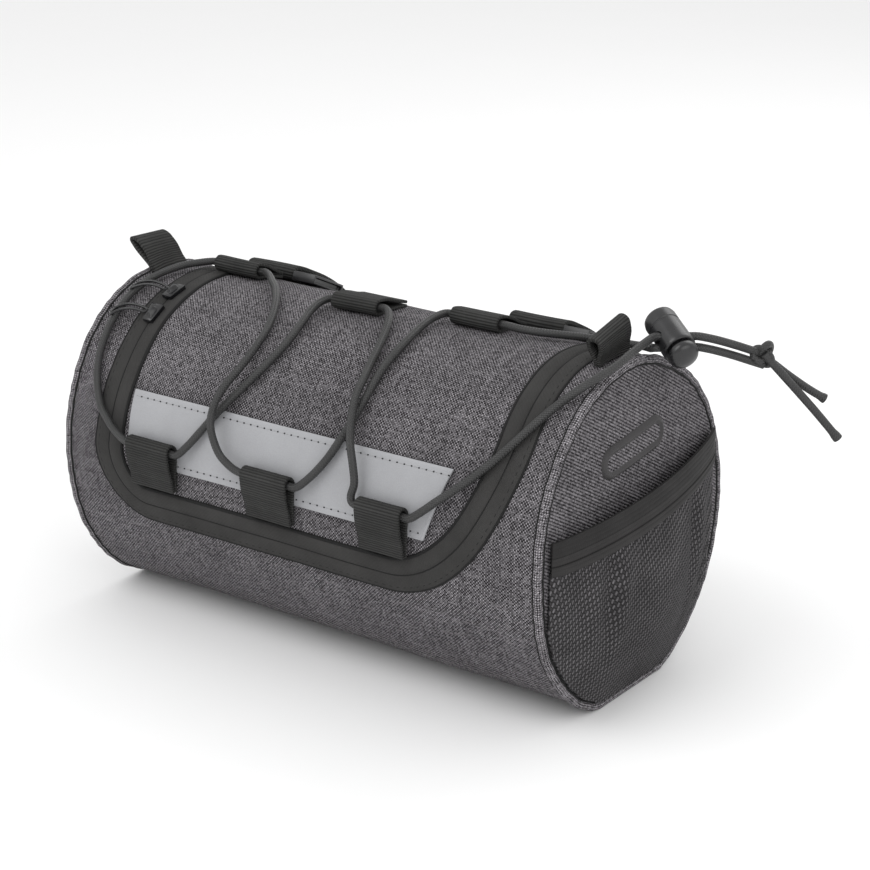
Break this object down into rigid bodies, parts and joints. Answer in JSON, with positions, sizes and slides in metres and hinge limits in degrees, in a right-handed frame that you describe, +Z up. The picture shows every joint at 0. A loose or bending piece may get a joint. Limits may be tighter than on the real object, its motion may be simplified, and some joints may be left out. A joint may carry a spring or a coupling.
{
  "type": "bicycle handlebar bag",
  "caption": "Soft barrel-shaped handlebar bag with a zipped lid laced with elastic cord, reflective strip, webbing loops, handlebar straps, cord lock and a net end pocket",
  "frame": {"origin": "on the flattened underside that the bag rests on, below the barrel's axis, midway between the two end seams", "axes": "+X along the barrel towards the net pocket, -Y towards the front with the lid's free edge, +Z up"},
  "size_m": [0.2942, 0.1481, 0.1474],
  "materials": {
    "heather_cloth": "matt two-tone woven polyester, charcoal with pale flecks",
    "zip_tape": "smooth matt zip tape",
    "reflective": "satin light grey reflective tape, stitched along both edges",
    "webbing": "black ribbed webbing",
    "braided_cord": "dark braided elastic cord",
    "net": "fine charcoal net",
    "elastic_binding": "ribbed elastic band",
    "rubber_patch": "soft matt rubber, bare inside a raised outline",
    "plastic": "charcoal moulded plastic, half gloss",
    "black_metal": "glossy black enamel on cast zinc"
  },
  "bodies": {
    "root": {"body_wrap": "heather_cloth", "end_panel_left": "heather_cloth", "end_panel_right": "heather_cloth", "piping_left": "heather_cloth", "piping_right": "heather_cloth", "lid_panel": "heather_cloth", "zipper_tape_lid": "zip_tape", "zipper_tape_body": "zip_tape", "reflective_strip": "reflective", "cord_loop_bottom_1": "webbing", "cord_loop_bottom_2": "webbing", "cord_loop_bottom_3": "webbing", "cord_loop_top_1": "webbing", "cord_loop_top_2": "webbing", "cord_loop_top_3": "webbing", "shoulder_loop_left": "webbing", "shoulder_loop_right": "webbing", "handlebar_strap_left": "webbing", "handlebar_strap_right": "webbing", "strap_buckle_left": "plastic", "strap_buckle_right": "plastic", "pocket_mesh": "net", "pocket_binding": "elastic_binding", "end_patch": "rubber_patch", "zipper_slider_1": "black_metal", "zipper_slider_2": "black_metal", "zipper_pull_1": "black_metal", "zipper_pull_2": "black_metal", "bungee_cord": "braided_cord", "cord_lock_barrel": "plastic", "cord_lock_button": "plastic", "cord_tail_upper": "braided_cord", "cord_tail_lower": "braided_cord", "cord_knot": "braided_cord", "cord_end_1": "braided_cord", "cord_end_2": "braided_cord"}
  },
  "joints": []
}
